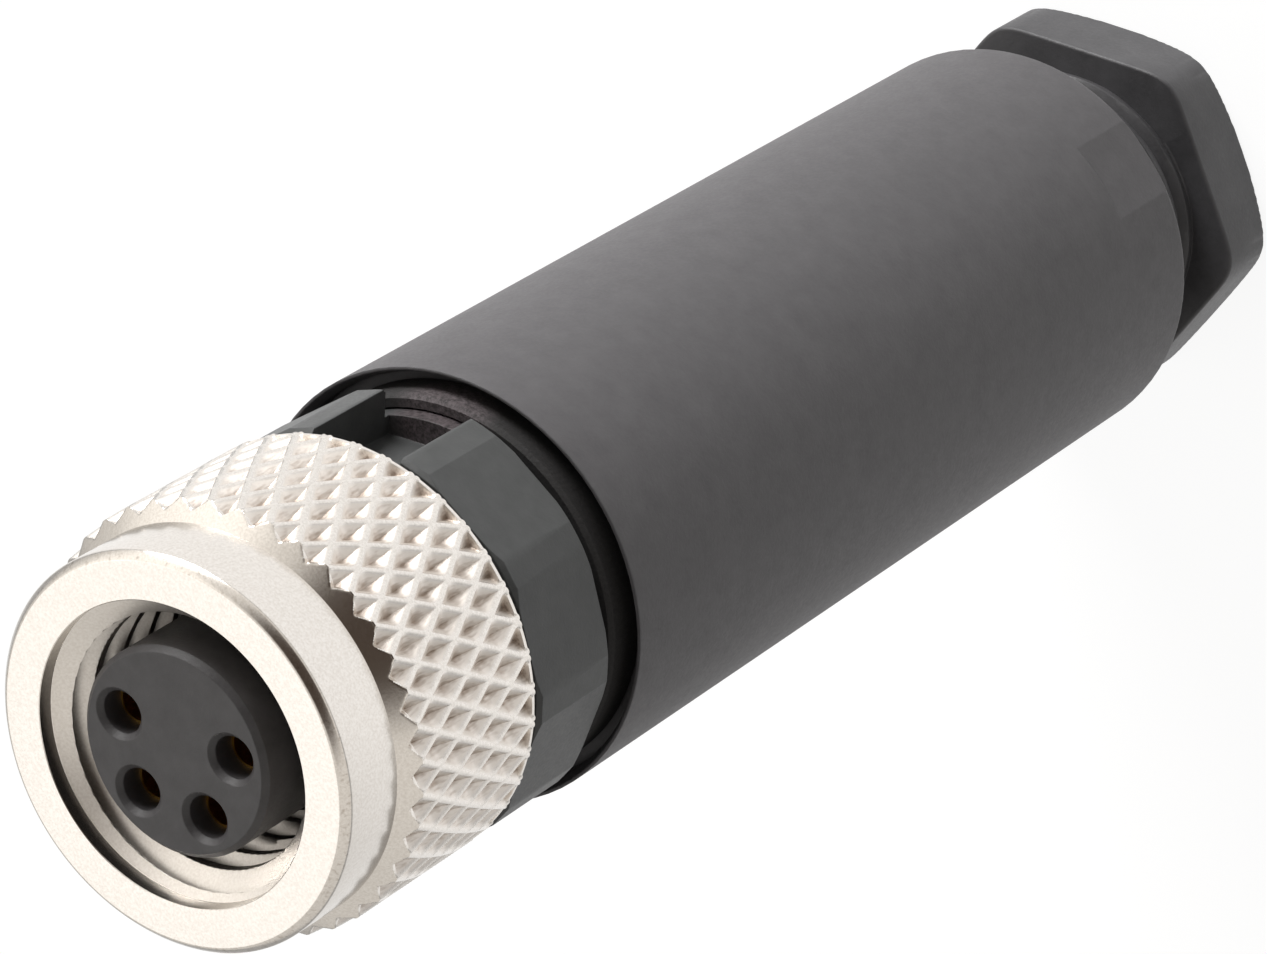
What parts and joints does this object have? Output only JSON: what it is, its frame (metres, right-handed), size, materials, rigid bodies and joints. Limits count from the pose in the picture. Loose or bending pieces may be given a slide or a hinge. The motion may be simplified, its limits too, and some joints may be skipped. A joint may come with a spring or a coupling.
{
  "type": "circular sensor connector",
  "caption": "Straight round cable socket with a knurled screw-locking nut, a recessed contact face, a smooth grip sleeve and a hexagonal cable gland nut.",
  "frame": {"origin": "centre of the gland nut's flat rear face, which the connector stands on", "axes": "+Z along the connector's axis towards the mating face; -Y towards the camera side of the picture"},
  "size_m": [0.012, 0.012, 0.0465],
  "materials": {
    "nickel": "nickel plated, satin",
    "gold": "gold plated",
    "carrier_plastic": "moulded, satin",
    "collar_plastic": "moulded, satin",
    "sleeve_plastic": "moulded, fine texture",
    "gland_plastic": "moulded, fine texture",
    "cage_plastic": "moulded",
    "seal_rubber": "matt"
  },
  "bodies": {
    "grip": {"sleeve": "sleeve_plastic"},
    "seal_ring": {"collar_seal": "seal_rubber"},
    "core": {"contact_carrier": "carrier_plastic", "contact_1": "gold", "contact_2": "gold", "contact_3": "gold", "contact_4": "gold", "contact_retainer": "carrier_plastic", "collar": "collar_plastic", "face_seal": "seal_rubber"},
    "lock_ring": {"coupling_nut": "nickel"},
    "clamp": {"cable_seal": "seal_rubber", "clamp_cage": "cage_plastic"},
    "gland": {"gland_nut": "gland_plastic"}
  },
  "joints": [
    {"name": "collar_slide", "type": "slide", "parent": "grip", "child": "seal_ring", "axis": [0, 0, 1], "range_m": [0, 0.0039]},
    {"name": "collar_turn", "type": "hinge", "parent": "seal_ring", "child": "core", "pos_m": [0, 0, 0.03585], "axis": [0, 0, 1], "range_deg": [0, 1872.1]},
    {"name": "nut_spin", "type": "hinge", "parent": "core", "child": "lock_ring", "pos_m": [0, 0, 0.0392], "axis": [0, 0, 1], "continuous": true},
    {"name": "gland_slide", "type": "slide", "parent": "grip", "child": "clamp", "axis": [0, 0, 1], "range_m": [0, 0.0028]},
    {"name": "gland_turn", "type": "hinge", "parent": "clamp", "child": "gland", "pos_m": [0, 0, 0.0026], "axis": [0, 0, 1], "range_deg": [0, 1344.1]}
  ],
  "couplings": [
    {"joint": "collar_turn", "follows": "collar_slide", "rad_per_m": 8377.6},
    {"joint": "gland_turn", "follows": "gland_slide", "rad_per_m": 8377.6}
  ]
}
